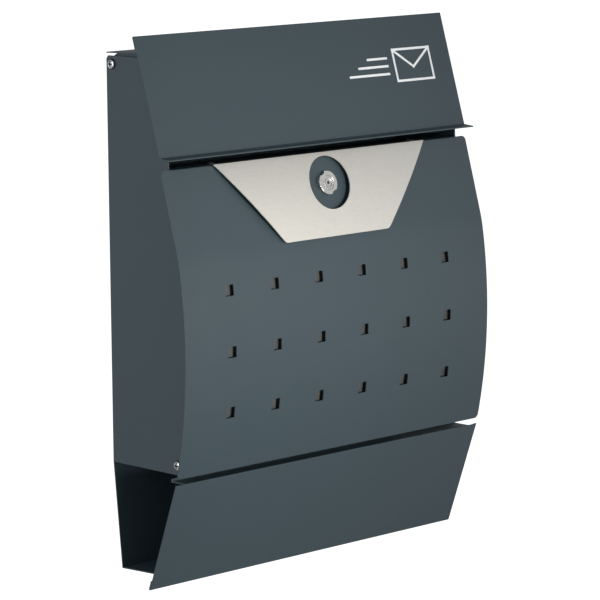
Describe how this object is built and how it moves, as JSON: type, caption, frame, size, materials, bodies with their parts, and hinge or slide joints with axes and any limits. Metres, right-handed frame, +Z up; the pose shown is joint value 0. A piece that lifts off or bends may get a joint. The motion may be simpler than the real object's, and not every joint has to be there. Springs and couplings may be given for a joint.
{
  "type": "wall mailbox",
  "caption": "Wall mounted sheet-steel mailbox with a lifting lid over a letter slot, a bulged locking front door with a window grid, and an open-ended newspaper tray below.",
  "frame": {"origin": "centre of the four wall fixing holes, on the wall plane", "axes": "+X to the right seen from the front, +Y into the wall, +Z up; the door faces -Y"},
  "size_m": [0.35, 0.1059, 0.4448],
  "materials": {
    "painted_steel": "satin fine-texture powder coat, anthracite",
    "stainless": "fine brushed stainless",
    "lock_chrome": "satin chrome",
    "plated_steel": "zinc plated",
    "silver_print": "matt silver-white print",
    "window_plastic": "matt translucent smoke grey",
    "nylon": "natural nylon",
    "foam_pad": "black foam tape",
    "spacer_rubber": "matt black"
  },
  "bodies": {
    "root": {"back_panel": "painted_steel", "left_side_panel": "painted_steel", "right_side_panel": "painted_steel", "floor_panel": "painted_steel", "strike_rail": "painted_steel", "wall_spacers": "spacer_rubber", "back_rivets": "plated_steel", "holder_channel": "painted_steel", "holder_front_panel": "painted_steel", "holder_rivets": "plated_steel", "lid_pivot_screws": "plated_steel", "lid_pivot_washers": "nylon", "lid_pivot_nuts": "plated_steel", "door_pivot_screws": "plated_steel", "door_pivot_washers": "nylon", "door_pivot_nuts": "plated_steel"},
    "lid": {"lid_front_panel": "painted_steel", "lid_top_panel": "painted_steel", "lid_left_ear": "painted_steel", "lid_right_ear": "painted_steel", "lid_pictogram": "silver_print"},
    "door": {"door_panel": "painted_steel", "door_stiffener": "painted_steel", "stiffener_rivets": "plated_steel", "door_left_hinge": "painted_steel", "door_right_hinge": "painted_steel", "window_sheet": "window_plastic", "window_top_rail": "painted_steel", "window_low_rail": "painted_steel", "trim_plate": "stainless", "trim_pads": "foam_pad", "lock_housing": "lock_chrome", "lock_nut": "plated_steel"},
    "lock": {"lock_plug": "lock_chrome", "lock_cam": "plated_steel", "cam_screw": "plated_steel"}
  },
  "joints": [
    {"name": "lid_hinge", "type": "hinge", "parent": "root", "child": "lid", "pos_m": [0, -0.0125, 0.1503], "axis": [-1, 0, 0], "range_deg": [0, 75]},
    {"name": "door_hinge", "type": "hinge", "parent": "root", "child": "door", "pos_m": [0, -0.0842, -0.1654], "axis": [1, 0, 0], "range_deg": [0, 85]},
    {"name": "lock_turn", "type": "hinge", "parent": "door", "child": "lock", "pos_m": [0, -0.0865, 0.04587], "axis": [0, -0.9622, 0.2723], "range_deg": [0, 90]}
  ]
}
